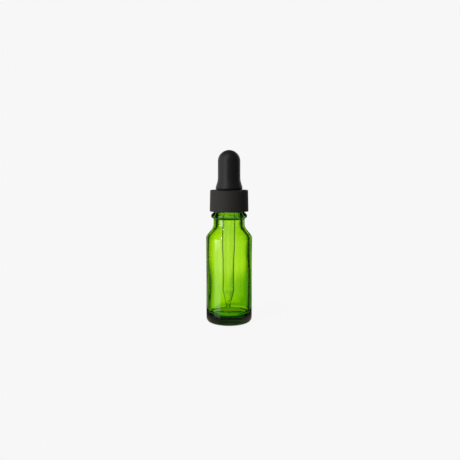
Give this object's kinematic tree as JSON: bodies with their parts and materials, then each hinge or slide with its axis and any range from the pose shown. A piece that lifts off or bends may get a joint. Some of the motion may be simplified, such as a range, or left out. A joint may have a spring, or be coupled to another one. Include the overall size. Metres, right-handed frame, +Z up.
{
  "type": "medicine dropper bottle",
  "caption": "Round green glass bottle with a screw neck, closed by a black screw cap that holds a rubber bulb and a glass pipette.",
  "frame": {"origin": "centre of the base, on the surface that the bottle stands on", "axes": "+Z up along the common axis of bottle, cap, bulb and pipette; X and Y are alike"},
  "size_m": [0.0254, 0.0254, 0.0961],
  "materials": {
    "green_glass": "clear bright green glass, fire-polished",
    "clear_glass": "clear drawn glass tube",
    "black_plastic": "matte black moulded plastic with a fine grain",
    "black_rubber": "soft matte black rubber"
  },
  "bodies": {
    "bottle": {"glass_bottle": "green_glass"},
    "pipette": {"glass_pipette": "clear_glass"},
    "cap": {"screw_cap": "black_plastic"},
    "bulb": {"rubber_bulb": "black_rubber"}
  },
  "joints": [
    {"name": "dropper_lift", "type": "slide", "parent": "bottle", "child": "pipette", "axis": [0, 0, 1], "range_m": [0, 0.0672]},
    {"name": "cap_turn", "type": "hinge", "parent": "pipette", "child": "cap", "pos_m": [0, 0, 0.068], "axis": [0, 0, 1], "range_deg": [0, 7600]},
    {"name": "bulb_press", "type": "slide", "parent": "pipette", "child": "bulb", "axis": [0, 0, -1], "range_m": [0, 0.006], "stiffness_N_per_m": 400, "deforming": ["rubber_bulb"]}
  ],
  "couplings": [
    {"joint": "dropper_lift", "follows": "cap_turn", "m_per_rad": 0.00050532}
  ]
}
